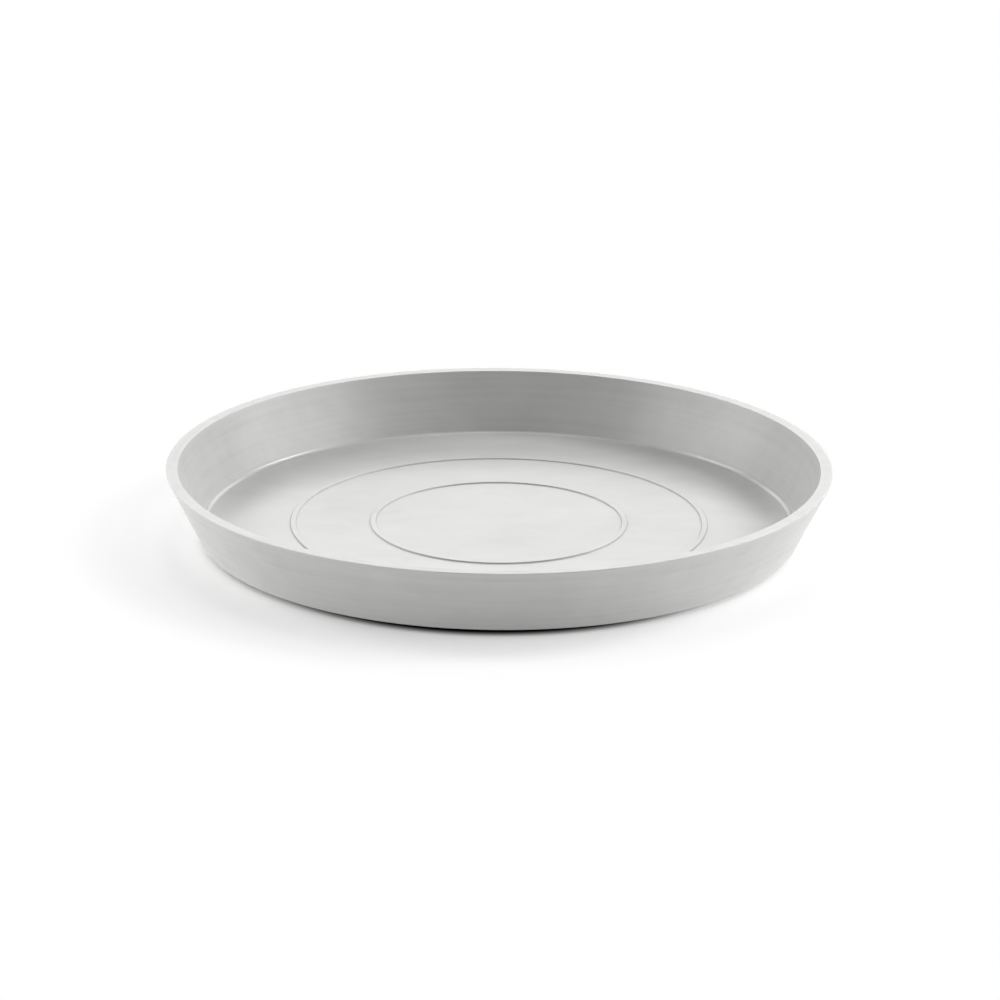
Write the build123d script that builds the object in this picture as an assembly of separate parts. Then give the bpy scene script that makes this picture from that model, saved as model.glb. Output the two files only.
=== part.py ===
from build123d import *
import os
from math import radians, sin, tan

# Plant saucer: a round moulded dish with a flared wall, standing on rubber pads.
# Millimetres and degrees, +Z up. The origin is on the ground, in the middle of the saucer.

# Dish
rim_diameter = 310.0
rim_width = 5.4
rim_edge_chamfer = 0.5
overall_height = 34.0
wall_flare_angle = 26.0
wall_foot_width = 3.4
floor_thickness = 3.2
cove_radius = 2.6
base_edge_radius = 2.0

# Raised rings on the floor, with sloping sides and a flat crest
inner_ring_diameter = 117.7
outer_ring_diameter = 192.3
ring_foot_width = 2.75
ring_crest_width = 2.45
ring_height = 0.65

# Pads set in recesses under the floor
pad_count = 6
pad_diameter = 18.0
pad_edge_chamfer = 0.8
pad_clearance = 0.2
pad_recess_depth = 1.2
pad_edge_distance = 18.0
stand_off = 2.2
cut_overrun = 1.0

# Heights above the ground
underside = stand_off
floor_top = underside + floor_thickness
ring_top = floor_top + ring_height
pad_height = stand_off + pad_recess_depth

# The rim's outer corner stands out far enough for its chamfered edge to have the full rim diameter.
rim_corner_radius = rim_diameter / 2 + rim_edge_chamfer * sin(radians(wall_flare_angle))


def wall_radius(height):
    """Radius of the outer wall at a height above the ground."""
    return rim_corner_radius - (overall_height - height) * tan(radians(wall_flare_angle))


base_radius = wall_radius(underside)
floor_radius = wall_radius(floor_top) - wall_foot_width
pad_circle_radius = base_radius - pad_edge_distance - pad_diameter / 2


def ring_outline(diameter):
    """Points of one raised ring's section, from the axis outwards."""
    radius = diameter / 2
    return [
        (radius - ring_foot_width / 2, floor_top),
        (radius - ring_crest_width / 2, ring_top),
        (radius + ring_crest_width / 2, ring_top),
        (radius + ring_foot_width / 2, floor_top),
    ]


def dish_section():
    """Half section: along the floor over both rings, up the wall, across the rim and back underneath."""
    floor_outline = [(0, floor_top), *ring_outline(inner_ring_diameter), *ring_outline(outer_ring_diameter)]
    with BuildSketch(Plane.XZ) as section:
        with BuildLine():
            Polyline(*floor_outline)
            FilletPolyline(
                floor_outline[-1],
                (floor_radius, floor_top),
                (rim_diameter / 2 - rim_width, overall_height),
                (rim_corner_radius, overall_height),
                (base_radius, underside),
                (0, underside),
                radius=[cove_radius, 0, 0, base_edge_radius],
            )
            Line((0, underside), (0, floor_top))
        make_face()
    return section.sketch


def pad_places():
    """Centres of the pads on the ground, evenly round the saucer."""
    return PolarLocations(pad_circle_radius, pad_count)


def make_dish():
    """The moulded dish, with a shallow round recess in its underside for each pad."""
    with BuildPart() as dish:
        add(dish_section())
        revolve(axis=Axis.Z)
        chamfer(dish.edges().group_by(Axis.Z)[-1], rim_edge_chamfer)
        with Locations((0, 0, underside - cut_overrun)):
            with pad_places():
                Cylinder(
                    pad_diameter / 2 + pad_clearance,
                    pad_recess_depth + cut_overrun,
                    align=(Align.CENTER, Align.CENTER, Align.MIN),
                    mode=Mode.SUBTRACT,
                )
    return dish.part


def make_pad():
    """A round rubber pad with its lower edge chamfered, standing on the ground at the origin."""
    with BuildPart() as pad:
        Cylinder(pad_diameter / 2, pad_height, align=(Align.CENTER, Align.CENTER, Align.MIN))
        chamfer(pad.edges().group_by(Axis.Z)[0], pad_edge_chamfer)
    return pad.part


def write_node(name, solid):
    """Write one piece to its own file."""
    solid.label = name
    export_step(solid, os.path.join("parts", name + ".step"))


os.makedirs("parts", exist_ok=True)
write_node("dish", make_dish())
pad = make_pad()
for number, place in enumerate(pad_places().locations, start=1):
    write_node(f"foot_pad_{number}", place * pad)
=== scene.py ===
"""Plant saucer: a moulded dish on rubber pads, dressed over its solid frame on a white stage."""

from math import cos, pi, radians, sin, tan

import bpy
import numpy as np
from bpy.props import FloatProperty, FloatVectorProperty, IntProperty, PointerProperty
from mathutils import Matrix, Vector


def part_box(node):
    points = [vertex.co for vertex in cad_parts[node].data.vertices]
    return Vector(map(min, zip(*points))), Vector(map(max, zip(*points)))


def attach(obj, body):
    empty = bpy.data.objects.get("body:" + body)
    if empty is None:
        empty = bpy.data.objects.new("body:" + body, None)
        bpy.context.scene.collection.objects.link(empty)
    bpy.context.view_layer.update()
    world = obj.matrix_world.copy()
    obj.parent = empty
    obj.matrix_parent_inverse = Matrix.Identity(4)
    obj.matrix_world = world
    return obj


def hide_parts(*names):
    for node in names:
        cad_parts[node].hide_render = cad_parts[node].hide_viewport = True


bl_info = {
    "name": "Plant Saucer",
    "version": (1, 0, 0),
    "blender": (4, 5, 0),
    "location": "View3D > Sidebar > Saucer",
    "description": "Draws a moulded plant saucer on rubber pads, with its finishes and a white stage",
    "category": "Add Mesh",
}

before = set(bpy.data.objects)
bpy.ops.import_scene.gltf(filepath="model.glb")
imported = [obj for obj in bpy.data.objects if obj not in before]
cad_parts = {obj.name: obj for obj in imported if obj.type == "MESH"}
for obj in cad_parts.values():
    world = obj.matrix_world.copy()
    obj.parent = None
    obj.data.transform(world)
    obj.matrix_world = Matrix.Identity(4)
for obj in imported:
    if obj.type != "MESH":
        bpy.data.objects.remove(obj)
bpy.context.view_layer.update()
dish_low, dish_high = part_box("dish")
pad_nodes = sorted(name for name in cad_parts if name.startswith("foot_pad_"))
pad_low, pad_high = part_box(pad_nodes[0])

MM = 0.001
# Points closer than this become one vertex.
WELD = 1e-7
BLACK = (0.0, 0.0, 0.0, 1.0)
WHITE = (1.0, 1.0, 1.0, 1.0)

# Points along a rounding and along a straight span of each section
DISH_ARC, DISH_SPAN = 7, 4
RECESS_ARC, RECESS_SPAN = 4, 1
PAD_ARC, PAD_SPAN = 9, 4

# Fall of a trait along the section, and the share of the cove's trait at which its gloss starts
TRAIT_REACH = 0.5 * MM
COVE_LIMIT = 0.93

# Noises: cells per metre along X, Y and Z, layers of detail, share of each finer layer
CLOUDS = ((14.0, 14.0, 14.0), 3.0, 0.5)
MOTTLE = ((55.0, 120.0, 85.0), 3.0, 0.5)
FLOW = ((9.0, 9.0, 420.0), 3.0, 0.6)
GRAIN = ((900.0, 900.0, 900.0), 1.0, 0.5)
WAVES = ((30.0, 30.0, 60.0), 2.0, 0.5)
BLOOM = ((220.0, 220.0, 220.0), 4.0, 0.6)
RUBBER_GRAIN = ((3200.0, 3200.0, 3200.0), 2.0, 0.5)

# Dish: weights of the noises in its shade, roughness and surface
SHADE_CLOUDS, SHADE_MOTTLE, SHADE_FLOW = 0.4, 0.6, 0.85
SHADE_START, SHADE_FULL = -0.05, 0.35
STREAK_SHARE = 0.5
# Share of grey on the rim: painted shade that darkens the rim's brightly lit top
RIM_PAINTED_SHADE = 0.35
EDGE_PALE = 0.3
ROUGHNESS_SWING = 0.03
COVE_POLISH = 0.09
HEIGHT_WAVES, HEIGHT_MOTTLE, HEIGHT_FLOW, HEIGHT_GRAIN = 0.8, 0.12, 0.10, 0.01
DISH_RELIEF = 0.12 * MM

# Pads: the bloom's limits and its weights in roughness and surface
BLOOM_START, BLOOM_FULL = -0.1, 0.25
BLOOM_ROUGHNESS = 0.2
BLOOM_HEIGHT = 0.5
RUBBER_GLOSS = 0.3
RUBBER_RELIEF = 0.05 * MM

# Lamps: bearing from +X to +Y and rise in degrees, sides in metres
SOFTBOX_DISTANCE = 1.4
SOFTBOXES = {
    "right": {"bearing": 0.0, "rise": 24.0, "width": 1.4, "height": 0.9},
    "right_rear": {"bearing": 22.0, "rise": 38.0, "width": 0.45, "height": 0.45},
    "left": {"bearing": 180.0, "rise": 22.0, "width": 1.4, "height": 0.9},
    "left_rear": {"bearing": 158.0, "rise": 38.0, "width": 0.45, "height": 0.45},
    "back": {"bearing": 90.0, "rise": 28.0, "width": 1.6, "height": 0.4},
    "top": {"bearing": 90.0, "rise": 72.0, "width": 0.45, "height": 0.45},
    "right_card": {"bearing": 315.0, "rise": 0.9, "width": 0.6, "height": 0.03},
    "left_card": {"bearing": 205.0, "rise": 0.9, "width": 0.5, "height": 0.03},
}
SENSOR_WIDTH = 36.0


def length(name, description, default):
    """A property that holds a length in metres."""
    return FloatProperty(
        name=name, description=description, default=default, min=0.0, unit="LENGTH", precision=5
    )


def share(name, description, default):
    """A property that holds a share of one."""
    return FloatProperty(name=name, description=description, default=default, min=0.0, max=1.0)


def count(name, description, default, least):
    """A property that holds a whole number."""
    return IntProperty(name=name, description=description, default=default, min=least)


def angle(name, description, degrees):
    """A property that holds an angle, given here in degrees."""
    return FloatProperty(
        name=name, description=description, default=radians(degrees), subtype="ANGLE"
    )


def colour(name, description, default):
    """A property that holds a linear colour."""
    return FloatVectorProperty(
        name=name, description=description, default=default, subtype="COLOR", min=0.0, max=1.0
    )


def place(name, description, default):
    """A property that holds a point, in metres."""
    return FloatVectorProperty(
        name=name, description=description, default=default, subtype="TRANSLATION", unit="LENGTH"
    )


def power(name, watts):
    """A property that holds the power of a lamp."""
    return FloatProperty(
        name=name, description="Power of the lamp", default=watts, min=0.0, unit="POWER"
    )


class SaucerShape(bpy.types.PropertyGroup):
    """Sizes of the dish and its pads. The outer sizes and the pads' places come from the frame."""

    rim_radius: length("Rim radius", "From the axis to the outside of the rim", dish_high.x)
    rim_width: length("Rim width", "Width of the flat rim, with its edges", 5.4 * MM)
    rim_edge: length("Rim edge", "Rounding of the rim's two edges", 0.36 * MM)
    rim_height: length("Rim height", "Height of the rim above the ground", dish_high.z)
    wall_flare: angle("Wall flare", "Lean of the outer wall from upright", 26.0)
    wall_foot: length("Wall foot", "Level width of the wall where it meets the floor", 3.4 * MM)
    cove: length("Cove", "Rounding between the floor and the wall", 2.3 * MM)
    base_edge: length("Base edge", "Rounding under the wall", 2.0 * MM)
    underside: length("Underside", "Height of the dish's underside above the ground", dish_low.z)
    floor_thickness: length("Floor thickness", "Thickness of the floor", 3.2 * MM)
    inner_ring: length("Inner ring", "Diameter of the inner raised ring", 117.7 * MM)
    outer_ring: length("Outer ring", "Diameter of the outer raised ring", 192.3 * MM)
    ring_foot: length("Ring foot", "Width of a raised ring at the floor", 2.75 * MM)
    ring_crest: length("Ring crest", "Width of a raised ring's flat top", 2.45 * MM)
    ring_height: length("Ring height", "Height of a raised ring above the floor", 0.65 * MM)
    ring_edge: length("Ring edge", "Rounding along a raised ring", 0.30 * MM)
    pad_radius: length("Pad radius", "Radius of a pad", (pad_high.x - pad_low.x) / 2)
    pad_height: length(
        "Pad height", "Height of a pad, with the part let into the floor", pad_high.z - pad_low.z
    )
    pad_clearance: length(
        "Pad clearance", "Gap between a pad and the wall of its recess", 0.2 * MM
    )
    pad_edge: length("Pad edge", "Rounding of a pad's lower edge", 0.8 * MM)
    pad_top_edge: length("Pad top edge", "Rounding of a pad's upper edge", 0.2 * MM)
    recess_depth: length("Recess depth", "Depth of the recess that a pad sits in", 1.2 * MM)
    recess_edge: length("Recess edge", "Rounding of a recess's edges", 0.2 * MM)
    dish_turns: count("Dish facets", "Steps round the dish, six times a whole", 480, 24)
    sector_steps: count("Sector facets", "Steps along a sector of the underside", 24, 4)
    pad_turns: count("Pad facets", "Steps round a pad", 96, 24)


class SaucerFinish(bpy.types.PropertyGroup):
    """Colours and surface of the moulded dish and of the rubber pads."""

    dish_colour: colour("Dish", "Body of the pale grey moulding", (0.549, 0.551, 0.540))
    dish_pale: colour("Dish rubbed", "Rubbed edges and pale streaks", (0.615, 0.617, 0.604))
    # The streak grey also serves as the painted shade on the rim.
    dish_grey: colour("Dish streak", "Grey streaks and the rim", (0.46, 0.462, 0.449))
    dish_roughness: share("Dish roughness", "Mean roughness of the moulding", 0.31)
    pad_colour: colour("Pad", "Body of the rubber", (0.05, 0.05, 0.05))
    pad_bloom: colour("Pad bloom", "Grey bloom on the rubber", (0.11, 0.11, 0.108))
    pad_roughness: share("Pad roughness", "Mean roughness of the rubber", 0.78)


class SaucerStage(bpy.types.PropertyGroup):
    """Camera, floor and lights."""

    camera_elevation: angle(
        "Camera elevation", "Camera above the ground, seen from the middle", 18.8587
    )
    camera_distance: length(
        "Camera distance", "From the middle of the saucer to the camera", 2.0845
    )
    camera_roll: angle("Camera roll", "Turn of the camera about its view", 0.4128)
    camera_lens: FloatProperty(
        name="Lens", description="Focal length in mm on a 36 mm frame", default=160.16
    )
    aim_side: length("Aim, side", "Point looked at, to the right of the middle", 0.467 * MM)
    aim_height: length("Aim, height", "Point looked at, above the ground", 16.076 * MM)
    floor_size: length("Floor size", "Side of the square floor", 30.0)
    # A shadow is painted on the floor: its colour as seen is black out to the first distance from
    # this middle and back to normal at the second.
    painted_shadow_middle: place(
        "Slit middle",
        "Middle of the dark under the saucer's front edge",
        (-1.0 * MM, -20.0 * MM, 0.0),
    )
    painted_shadow_near: length(
        "Slit near", "Distance from its middle at which the dark starts to lighten", 0.1145
    )
    painted_shadow_far: length("Slit far", "Distance from its middle at which the dark ends", 0.124)
    fade_middle: place(
        "Fade middle", "Middle of the floor's fade to white", (-18.0 * MM, -10.0 * MM, 0.0)
    )
    fade_near: length(
        "Fade near", "Distance from its middle at which the floor starts to fade to white", 0.105
    )
    fade_far: length(
        "Fade far", "Distance from its middle at which the floor is plain white", 0.185
    )
    floor_colour: colour("Floor", "Floor as it lights the saucer", (0.90, 0.90, 0.90))
    floor_seen: FloatProperty(
        name="Floor seen", description="Brightness of the floor's colour as seen", default=1.1
    )
    right_power: power("Right softbox", 11.0)
    right_rear_power: power("Right rear softbox", 8.7)
    left_power: power("Left softbox", 9.8)
    left_rear_power: power("Left rear softbox", 4.5)
    back_power: power("Back softbox", 6.0)
    top_power: power("Top softbox", 2.3)
    right_card_power: power("Right card", 5.05)
    left_card_power: power("Left card", 5.1)


class Wire:
    """An output of a shader node. Sums, differences and products of wires add Math nodes."""

    def __init__(self, tree, socket):
        self.tree = tree
        self.socket = socket

    def also(self, output):
        """Another output of the same node."""
        return Wire(self.tree, self.socket.node.outputs[output])

    def math(self, operation, *terms):
        """A Math node on wires or numbers."""
        return self.tree.node("ShaderNodeMath", {"operation": operation}, dict(enumerate(terms)))

    def __add__(self, other):
        return self.math("ADD", self, other)

    def __radd__(self, other):
        return self.math("ADD", other, self)

    def __sub__(self, other):
        return self.math("SUBTRACT", self, other)

    def __rsub__(self, other):
        return self.math("SUBTRACT", other, self)

    def __mul__(self, other):
        return self.math("MULTIPLY", self, other)

    def __rmul__(self, other):
        return self.math("MULTIPLY", other, self)


class Tree:
    """The emptied node tree of a material or the world."""

    def __init__(self, owner):
        owner.use_nodes = True
        self.nodes = owner.node_tree.nodes
        self.links = owner.node_tree.links
        self.nodes.clear()

    def node(self, kind, settings=None, sockets=None, output=0):
        """Add a node: its settings first, then its sockets by name or number, values or wires."""
        made = self.nodes.new(kind)
        for name, value in (settings or {}).items():
            setattr(made, name, value)
        for name, value in (sockets or {}).items():
            if isinstance(value, Wire):
                self.links.new(value.socket, made.inputs[name])
            else:
                made.inputs[name].default_value = value
        return Wire(self, made.outputs[output]) if made.outputs else None

    def place(self):
        """Where a point is on its piece, in metres."""
        return self.node("ShaderNodeTexCoord", output="Object")

    def distance(self, middle):
        """How far a point is from a middle, in metres."""
        sockets = {0: self.place(), 1: middle}
        return self.node(
            "ShaderNodeVectorMath", {"operation": "DISTANCE"}, sockets, output="Value"
        )

    def trait(self, name):
        """A number that the mesh carries at each vertex."""
        return self.node("ShaderNodeAttribute", {"attribute_name": name}, output="Fac")

    def noise(self, at, cells, detail, rough):
        """Noise about zero, with so many cells per metre along each axis."""
        scaled = self.node(
            "ShaderNodeVectorMath", {"operation": "MULTIPLY"}, {0: at, 1: cells}
        )
        sockets = {"Vector": scaled, "Scale": 1.0, "Detail": detail, "Roughness": rough}
        return self.node("ShaderNodeTexNoise", sockets=sockets, output="Fac") - 0.5

    def ramp(self, value, low, high, curve="SMOOTHSTEP"):
        """A step of a value, from 0 at low to 1 at high."""
        sockets = {"Value": value, "From Min": low, "From Max": high}
        return self.node("ShaderNodeMapRange", {"interpolation_type": curve}, sockets)

    def seen(self):
        """1 for a ray of the camera, straight, mirrored or through glass, and 0 for the rest."""
        rays = self.node("ShaderNodeLightPath", output="Is Camera Ray")
        rays = rays + rays.also("Is Glossy Ray") + rays.also("Is Transmission Ray")
        return self.ramp(rays, 0.0, 1.0)

    def blend(self, factor, first, second):
        """Mix of two colours, the second one by the factor."""
        sockets = {0: factor, 6: first, 7: second}
        return self.node("ShaderNodeMix", {"data_type": "RGBA"}, sockets, output=2)

    def bump(self, height, depth):
        """Surface turned by a height that runs from 0 to 1 over a depth in metres."""
        return self.node("ShaderNodeBump", sockets={"Height": height, "Distance": depth})


def rgba(shade):
    """A colour property with its alpha."""
    return (*shade, 1.0)


def rounded_section(corners, radii, arc_steps, span_steps):
    """A section line through corners, each inner one rounded, as numbers radius + i height.

    With a the way into a corner and phi the turn there, the arc starts radius * tan(|phi| / 2)
    before the corner. Its centre is i * a * radius to the side of the turn, and its points go
    round that by e^(i phi t) for t from 0 to 1. Straight spans between the arcs get points at
    shares that crowd towards their ends. Returns the points, the normals, which are i times the
    way along the line, and the bend at each point: -1 on an edge, 1 in a corner.
    """
    corners = np.asarray(corners)
    radii = np.asarray(radii)
    ways = np.diff(corners) / np.abs(np.diff(corners))
    turns = np.angle(ways[1:] / ways[:-1])
    starts = corners[1:-1] - ways[:-1] * radii * np.tan(np.abs(turns) / 2)
    to_centre = 1j * ways[:-1] * radii * np.sign(turns)
    swing = np.exp(1j * turns[:, None] * np.linspace(0, 1, arc_steps))
    arcs = (starts + to_centre)[:, None] - to_centre[:, None] * swing
    span_from = np.append(corners[0], arcs[:, -1])
    span_to = np.append(arcs[:, 0], corners[-1])
    shares = (1 - np.cos(pi * np.linspace(0, 1, span_steps + 2)[1:-1])) / 2
    spans = span_from[:, None] + (span_to - span_from)[:, None] * shares
    span_ways = np.repeat(ways[:, None], span_steps, axis=1)
    arc_ways = ways[:-1, None] * swing

    def in_order(first, in_spans, in_arcs, last):
        inner = np.hstack([in_spans[:-1], in_arcs]).ravel()
        return np.concatenate([[first], inner, in_spans[-1], [last]])

    line = in_order(corners[0], spans, arcs, corners[-1])
    normals = 1j * in_order(ways[0], span_ways, arc_ways, ways[-1])
    arc_bends = np.repeat(np.sign(turns)[:, None], arc_steps, axis=1)
    bends = in_order(0.0, np.zeros(spans.shape), arc_bends, 0.0)
    return line, normals, bends


def nearness(line, marked):
    """How near each point of a section line is to a marked one: e^(-way along the line / reach)."""
    along = np.append(0.0, np.cumsum(np.abs(np.diff(line))))
    gaps = np.abs(along[:, None] - along[marked][None, :])
    return np.exp(-gaps.min(axis=1) / TRAIT_REACH)


def grid_of(flat, heights):
    """Grid of points from flat places x + i y, with a height for each row."""
    return np.stack(
        [flat.real, flat.imag, np.broadcast_to(heights[:, None], flat.shape)], axis=2
    )


def turned(line, steps, centre=0j):
    """Grid of a line of numbers r + i z turned about an upright axis.

    Its points are (r cos t, r sin t, z), with t over a full turn.
    """
    turn = np.linspace(0, 2 * pi, steps, endpoint=False)
    return grid_of(centre + line.real[:, None] * np.exp(1j * turn), line.imag)


def joined_mesh(name, sheets):
    """Mesh of sheets: grids of points closed round their columns, of normals, and traits by row.

    Points that fall together, at a pole or where two sheets meet, become one vertex. A face that
    loses a side there becomes a triangle.
    """
    quads = []
    total = 0
    for points, _, _ in sheets:
        here = total + np.arange(points[..., 0].size).reshape(points.shape[:2])
        after = np.roll(here, -1, axis=1)
        corners = [here[:-1], here[1:], after[1:], after[:-1]]
        quads.append(np.stack(corners, axis=2).reshape(-1, 4))
        total += here.size
    places = np.concatenate([points.reshape(-1, 3) for points, _, _ in sheets])
    upright = np.concatenate([normals.reshape(-1, 3) for _, normals, _ in sheets])
    rounded = np.round(places / WELD)
    _, kept, vertex = np.unique(rounded, axis=0, return_index=True, return_inverse=True)
    quads = vertex.ravel()[np.concatenate(quads)]
    at_start = quads[:, 0] == quads[:, 3]
    at_end = quads[:, 1] == quads[:, 2]
    faces = quads[~at_start & ~at_end].tolist()
    faces += quads[at_start, :3].tolist() + quads[at_end][:, [0, 1, 3]].tolist()
    mesh = bpy.data.meshes.new(name)
    mesh.from_pydata(places[kept].tolist(), [], faces)
    for trait in sheets[0][2]:
        rows = [
            np.broadcast_to(traits[trait][:, None], points.shape[:2]).ravel()
            for points, _, traits in sheets
        ]
        spread = np.concatenate(rows)[kept].astype(np.float32)
        mesh.attributes.new(trait, "FLOAT", "POINT").data.foreach_set("value", spread)
    mesh.shade_smooth()
    mesh.normals_split_custom_set_from_vertices(upright[kept].tolist())
    return mesh


def add_piece(mesh, material, node):
    """Put a mesh in the scene as a piece that stands for a node of the frame."""
    mesh.materials.append(material)
    piece = bpy.data.objects.new(mesh.name, mesh)
    bpy.context.scene.collection.objects.link(piece)
    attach(piece, "root")
    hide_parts(node)


def pad_centres():
    """Axes of the pads as flat places x + i y."""
    middles = [sum(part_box(node), Vector()) / 2 for node in pad_nodes]
    return [complex(middle.x, middle.y) for middle in middles]


def ring_corners(diameter, floor_top, shape):
    """Corners of one raised ring, from the axis outwards."""
    middle = diameter / 2
    crest = floor_top + shape.ring_height
    return [
        complex(middle - shape.ring_foot / 2, floor_top),
        complex(middle - shape.ring_crest / 2, crest),
        complex(middle + shape.ring_crest / 2, crest),
        complex(middle + shape.ring_foot / 2, floor_top),
    ]


def dish_section(shape):
    """Corners and roundings of the dish.

    The line runs along the floor, up the wall, over the rim and just round the base edge.
    """
    floor_top = shape.underside + shape.floor_thickness
    lean = tan(shape.wall_flare)
    # A rounding on the rim's outer corner takes this much off the radius for each unit of its own.
    corner_loss = lean + 1 / cos(shape.wall_flare) - 1
    rim_corner = shape.rim_radius + shape.rim_edge * corner_loss
    base_radius = rim_corner - (shape.rim_height - shape.underside) * lean
    floor_radius = base_radius + shape.floor_thickness * lean - shape.wall_foot
    rings = [
        *ring_corners(shape.inner_ring, floor_top, shape),
        *ring_corners(shape.outer_ring, floor_top, shape),
    ]
    corners = [
        complex(0, floor_top),
        *rings,
        complex(floor_radius, floor_top),
        complex(shape.rim_radius - shape.rim_width, shape.rim_height),
        complex(rim_corner, shape.rim_height),
        complex(base_radius, shape.underside),
        complex(base_radius - 2 * shape.base_edge, shape.underside),
    ]
    ring_edges = [shape.ring_edge] * len(rings)
    return corners, [*ring_edges, shape.cove, shape.rim_edge, shape.rim_edge, shape.base_edge]


def recess_sheet(shape, centre, reach, traits):
    """One sector of the underside, with the recess that a pad sits in.

    The outline goes out from the dish's axis along one side of the sector, round the arc at the
    reach and back along the other side. Each column runs from a point of the outline straight
    towards the pad's axis, over the recess's edge, up its wall and along its ceiling.
    """
    half = pi / len(pad_nodes)
    middle = np.exp(2j * half * np.round(np.angle(centre) / (2 * half)))
    side = reach * np.linspace(0, 1, shape.sector_steps, endpoint=False)
    arc_points = shape.dish_turns // len(pad_nodes) + 1
    arc = reach * np.exp(1j * np.linspace(-half, half, arc_points))
    outline = middle * np.concatenate(
        [side * np.exp(-1j * half), arc, side[:0:-1] * np.exp(1j * half)]
    )
    ways = (outline - centre) / np.abs(outline - centre)
    hole = shape.pad_radius + shape.pad_clearance
    ceiling = shape.underside + shape.recess_depth
    corners = [
        complex(hole + 2 * shape.recess_edge, shape.underside),
        complex(hole, shape.underside),
        complex(hole, ceiling),
        complex(0, ceiling),
    ]
    radii = [shape.recess_edge] * 2
    line, normals, _ = rounded_section(corners, radii, RECESS_ARC, RECESS_SPAN)
    flat = np.concatenate([outline[None, :], centre + line.real[:, None] * ways])
    heights = np.append(shape.underside, line.imag)
    facing = np.append(normals[0], normals)
    plain = {trait: np.zeros(len(heights)) for trait in traits}
    return grid_of(flat, heights), grid_of(facing.real[:, None] * ways, facing.imag), plain


def pad_section(shape):
    """Corners and roundings of a pad, from its hidden top's middle round to its foot's middle."""
    corners = [
        complex(0, shape.pad_height),
        complex(shape.pad_radius, shape.pad_height),
        complex(shape.pad_radius, 0),
        complex(0, 0),
    ]
    return corners, [shape.pad_top_edge, shape.pad_edge]


def dish_material(look):
    """Pale grey satin moulding.

    Clouds, mottling and flow lines round the wall turn the body greyer and paler. The rim is
    greyed as painted shade, edges are rubbed pale, the cove is glossier, and the surface has waves
    and a fine grain.
    """
    material = bpy.data.materials.new("dish_moulding")
    tree = Tree(material)
    at = tree.place()
    clouds = tree.noise(at, *CLOUDS)
    mottle = tree.noise(at, *MOTTLE)
    flow = tree.noise(at, *FLOW)
    grain = tree.noise(at, *GRAIN)
    waves = tree.noise(at, *WAVES)
    rim = tree.trait("rim")
    edge = tree.trait("edge")
    cove = tree.ramp(tree.trait("cove"), COVE_LIMIT, 1.0)

    shade = SHADE_CLOUDS * clouds + SHADE_MOTTLE * mottle + SHADE_FLOW * flow
    grey = tree.ramp(shade, SHADE_START, SHADE_FULL)
    pale = tree.ramp(0.0 - shade, SHADE_START, SHADE_FULL)
    body = tree.blend(grey * STREAK_SHARE, rgba(look.dish_colour), rgba(look.dish_grey))
    body = tree.blend(pale * STREAK_SHARE, body, rgba(look.dish_pale))
    # Painted shade: the rim's top is blended towards grey, broken up by the mottle.
    body = tree.blend(rim * (RIM_PAINTED_SHADE + mottle), body, rgba(look.dish_grey))
    body = tree.blend(edge * (EDGE_PALE + mottle), body, rgba(look.dish_pale))
    swing = ROUGHNESS_SWING * (clouds + mottle + flow)
    height = (
        HEIGHT_WAVES * waves + HEIGHT_MOTTLE * mottle + HEIGHT_FLOW * flow + HEIGHT_GRAIN * grain
    )
    shader = tree.node(
        "ShaderNodeBsdfPrincipled",
        sockets={
            "Base Color": body,
            "Roughness": look.dish_roughness + swing - COVE_POLISH * cove,
            "Normal": tree.bump(height, DISH_RELIEF),
        },
    )
    tree.node("ShaderNodeOutputMaterial", sockets={"Surface": shader})
    return material


def pad_material(look):
    """Dark rubber with a fine grain and a grey bloom."""
    material = bpy.data.materials.new("pad_rubber")
    tree = Tree(material)
    at = tree.place()
    bloom = tree.noise(at, *BLOOM)
    grain = tree.noise(at, *RUBBER_GRAIN)
    bloomed = tree.ramp(bloom, BLOOM_START, BLOOM_FULL)
    shader = tree.node(
        "ShaderNodeBsdfPrincipled",
        sockets={
            "Base Color": tree.blend(bloomed, rgba(look.pad_colour), rgba(look.pad_bloom)),
            "Roughness": look.pad_roughness + bloom * BLOOM_ROUGHNESS,
            "Specular IOR Level": RUBBER_GLOSS,
            "Normal": tree.bump(grain + bloom * BLOOM_HEIGHT, RUBBER_RELIEF),
        },
    )
    tree.node("ShaderNodeOutputMaterial", sockets={"Surface": shader})
    return material


class SAUCER_OT_dish(bpy.types.Operator):
    """Draw the moulded dish: floor with two raised rings, cove, flared wall and flat rim"""

    bl_idname = "saucer.dish"
    bl_label = "Dish"

    def execute(self, context):
        shape = context.scene.saucer_shape
        line, normals, bends = rounded_section(*dish_section(shape), DISH_ARC, DISH_SPAN)
        past_rings = line.real > (shape.outer_ring + shape.ring_foot) / 2
        traits = {
            "edge": nearness(line, past_rings & (bends < 0)),
            "rim": nearness(line, line.imag > shape.rim_height - WELD),
            "cove": nearness(line, past_rings & (bends > 0)),
        }
        turns = shape.dish_turns
        sheets = [(turned(line, turns), turned(normals, turns), traits)]
        reach = line[-1].real
        sheets += [recess_sheet(shape, centre, reach, traits) for centre in pad_centres()]
        mesh = joined_mesh("dish_moulding", sheets)
        add_piece(mesh, dish_material(context.scene.saucer_finish), "dish")
        return {"FINISHED"}


class SAUCER_OT_pads(bpy.types.Operator):
    """Draw the round rubber pads under the dish"""

    bl_idname = "saucer.pads"
    bl_label = "Pads"

    def execute(self, context):
        shape = context.scene.saucer_shape
        line, normals, _ = rounded_section(*pad_section(shape), PAD_ARC, PAD_SPAN)
        material = pad_material(context.scene.saucer_finish)
        turns = shape.pad_turns
        for number, (node, centre) in enumerate(zip(pad_nodes, pad_centres()), start=1):
            sheet = (turned(line, turns, centre), turned(normals, turns), {})
            mesh = joined_mesh(f"pad_rubber_{number}", [sheet])
            add_piece(mesh, material, node)
        return {"FINISHED"}


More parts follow.
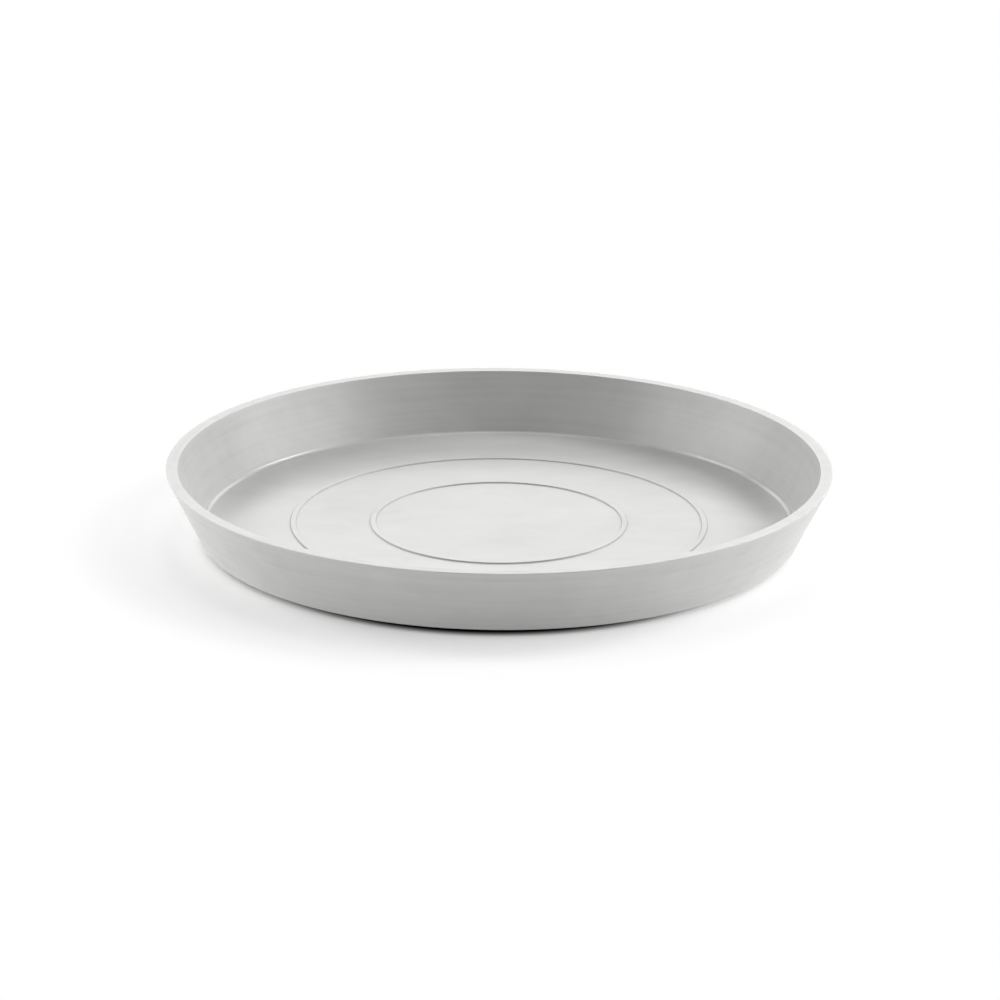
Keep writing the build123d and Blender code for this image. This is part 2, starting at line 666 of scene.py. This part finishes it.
def add_floor(stage):
    """A level white floor.

    It has a shadow painted on it, black in the slit under the saucer, keeps the rendered shadow
    close to the saucer and is plain white further out.
    """
    half = stage.floor_size / 2
    mesh = bpy.data.meshes.new("stage_floor")
    corners = [(-half, -half, 0), (half, -half, 0), (half, half, 0), (-half, half, 0)]
    mesh.from_pydata(corners, [], [(0, 1, 2, 3)])
    material = bpy.data.materials.new("stage_floor")
    tree = Tree(material)
    seen = tree.seen()
    # Painted shadow: this mask is 0 under the saucer's front edge, where the floor's colour as seen
    # is black, and 1 further out.
    clear_of_painted_shadow = tree.ramp(tree.distance(stage.painted_shadow_middle), stage.painted_shadow_near, stage.painted_shadow_far)
    shown = tree.blend(clear_of_painted_shadow, BLACK, (*[stage.floor_seen] * 3, 1.0))
    shadowed = tree.node(
        "ShaderNodeBsdfDiffuse",
        sockets={"Color": tree.blend(seen, rgba(stage.floor_colour), shown)},
    )
    plain = tree.node("ShaderNodeEmission", sockets={"Color": WHITE, "Strength": 1.0})
    way = tree.distance(stage.fade_middle)
    white = tree.ramp(way, stage.fade_near, stage.fade_far, "LINEAR")
    # The painted shadow also keeps the fade to white out of the slit.
    surface = tree.node(
        "ShaderNodeMixShader", sockets={0: seen * clear_of_painted_shadow * white, 1: shadowed, 2: plain}
    )
    tree.node("ShaderNodeOutputMaterial", sockets={"Surface": surface})
    mesh.materials.append(material)
    floor = bpy.data.objects.new("stage_floor", mesh)
    bpy.context.scene.collection.objects.link(floor)


def add_softbox(name, bearing, rise, width, height, watts):
    """A softbox that faces the middle of the saucer from a bearing and a rise, in degrees."""
    lamp = bpy.data.lights.new(name, "AREA")
    lamp.shape = "RECTANGLE"
    lamp.size = width
    lamp.size_y = height
    lamp.energy = watts
    turn, lift = radians(bearing), radians(rise)
    away = Vector((cos(turn) * cos(lift), sin(turn) * cos(lift), sin(lift)))
    box = bpy.data.objects.new(name, lamp)
    box.location = away * SOFTBOX_DISTANCE
    box.rotation_euler = away.to_track_quat("Z", "Y").to_euler()
    box.visible_camera = False
    bpy.context.scene.collection.objects.link(box)


def add_world():
    """White all round as seen and mirrored, with no light of its own on matt surfaces."""
    world = bpy.data.worlds.new("stage_world")
    tree = Tree(world)
    shown = tree.blend(tree.seen(), BLACK, WHITE)
    background = tree.node(
        "ShaderNodeBackground", sockets={"Color": shown, "Strength": 1.0}
    )
    tree.node("ShaderNodeOutputWorld", sockets={"Surface": background})
    bpy.context.scene.world = world


def add_camera(stage):
    """A long lens at the photograph's place, aimed at the middle of the saucer, a little rolled."""
    data = bpy.data.cameras.new("camera")
    data.lens = stage.camera_lens
    data.sensor_width = SENSOR_WIDTH
    camera = bpy.data.objects.new("camera", data)
    away = Vector((0, -cos(stage.camera_elevation), sin(stage.camera_elevation)))
    spot = away * stage.camera_distance
    aim = Vector((stage.aim_side, 0, stage.aim_height))
    facing = (aim - spot).to_track_quat("-Z", "Y").to_matrix().to_4x4()
    roll = Matrix.Rotation(stage.camera_roll, 4, "Z")
    camera.matrix_world = Matrix.Translation(spot) @ facing @ roll
    bpy.context.scene.collection.objects.link(camera)
    bpy.context.scene.camera = camera


class SAUCER_OT_stage(bpy.types.Operator):
    """Lay the floor, hang the lights and set the camera"""

    bl_idname = "saucer.stage"
    bl_label = "Stage"

    def execute(self, context):
        stage = context.scene.saucer_stage
        add_floor(stage)
        for name, spot in SOFTBOXES.items():
            add_softbox(name, watts=getattr(stage, f"{name}_power"), **spot)
        add_world()
        add_camera(stage)
        context.scene.view_settings.view_transform = "Standard"
        return {"FINISHED"}


class SAUCER_PT_panel(bpy.types.Panel):
    """The saucer's sizes, finishes and stage, with the operators that draw them"""

    bl_idname = "SAUCER_PT_panel"
    bl_label = "Plant Saucer"
    bl_space_type = "VIEW_3D"
    bl_region_type = "UI"
    bl_category = "Saucer"

    def draw(self, context):
        for operator in OPERATORS:
            self.layout.operator(operator.bl_idname)
        for name, group in GROUPS.items():
            box = self.layout.box()
            box.label(text=group.__doc__)
            for prop in group.__annotations__:
                box.prop(getattr(context.scene, name), prop)


GROUPS = {
    "saucer_shape": SaucerShape,
    "saucer_finish": SaucerFinish,
    "saucer_stage": SaucerStage,
}
OPERATORS = (SAUCER_OT_dish, SAUCER_OT_pads, SAUCER_OT_stage)


def register():
    for cls in (*GROUPS.values(), *OPERATORS, SAUCER_PT_panel):
        bpy.utils.register_class(cls)
    for name, group in GROUPS.items():
        setattr(bpy.types.Scene, name, PointerProperty(type=group))


def unregister():
    for name in GROUPS:
        delattr(bpy.types.Scene, name)
    for cls in reversed((*GROUPS.values(), *OPERATORS, SAUCER_PT_panel)):
        bpy.utils.unregister_class(cls)


def main():
    register()
    bpy.ops.saucer.dish()
    bpy.ops.saucer.pads()
    bpy.ops.saucer.stage()


if __name__ == "__main__":
    main()
